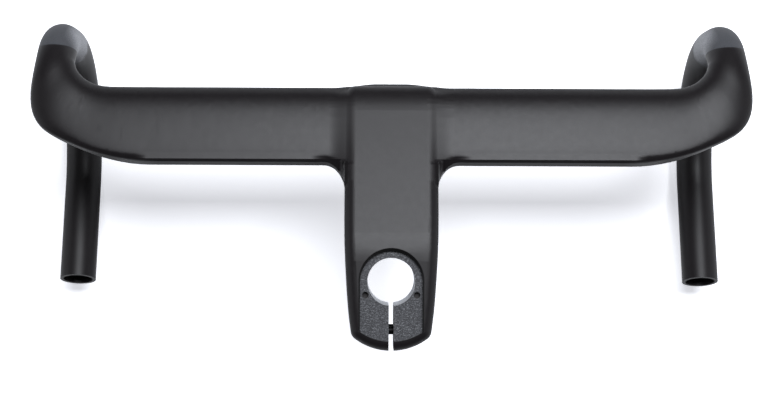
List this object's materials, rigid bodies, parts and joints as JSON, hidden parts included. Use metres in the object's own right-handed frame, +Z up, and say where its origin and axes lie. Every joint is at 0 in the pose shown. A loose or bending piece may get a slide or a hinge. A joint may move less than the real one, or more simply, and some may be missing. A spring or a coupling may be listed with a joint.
{
  "type": "integrated handlebar stem",
  "caption": "One-piece road drop bar and stem: flat wing tops, forward-swept outer bends, compact drops and a split steerer clamp with side bolts",
  "frame": {"origin": "on the steerer's axis, at the clamp's underside", "axes": "+X to the rider's right along the tops, +Y forward toward the bar, +Z up along the steerer"},
  "size_m": [0.444, 0.2017, 0.1689],
  "materials": {
    "carbon_body": "satin black clear-coated carbon laminate",
    "black_steel": "black oxide over machined steel",
    "insert_alloy": "machined, clear anodised"
  },
  "bodies": {
    "root": {"cockpit_body": "carbon_body", "clamp_bolt_upper": "black_steel", "clamp_bolt_lower": "black_steel", "clamp_washer_upper": "black_steel", "clamp_washer_lower": "black_steel", "clamp_nut_upper": "black_steel", "clamp_nut_lower": "black_steel", "mount_insert_left": "insert_alloy", "mount_insert_right": "insert_alloy"}
  },
  "joints": []
}
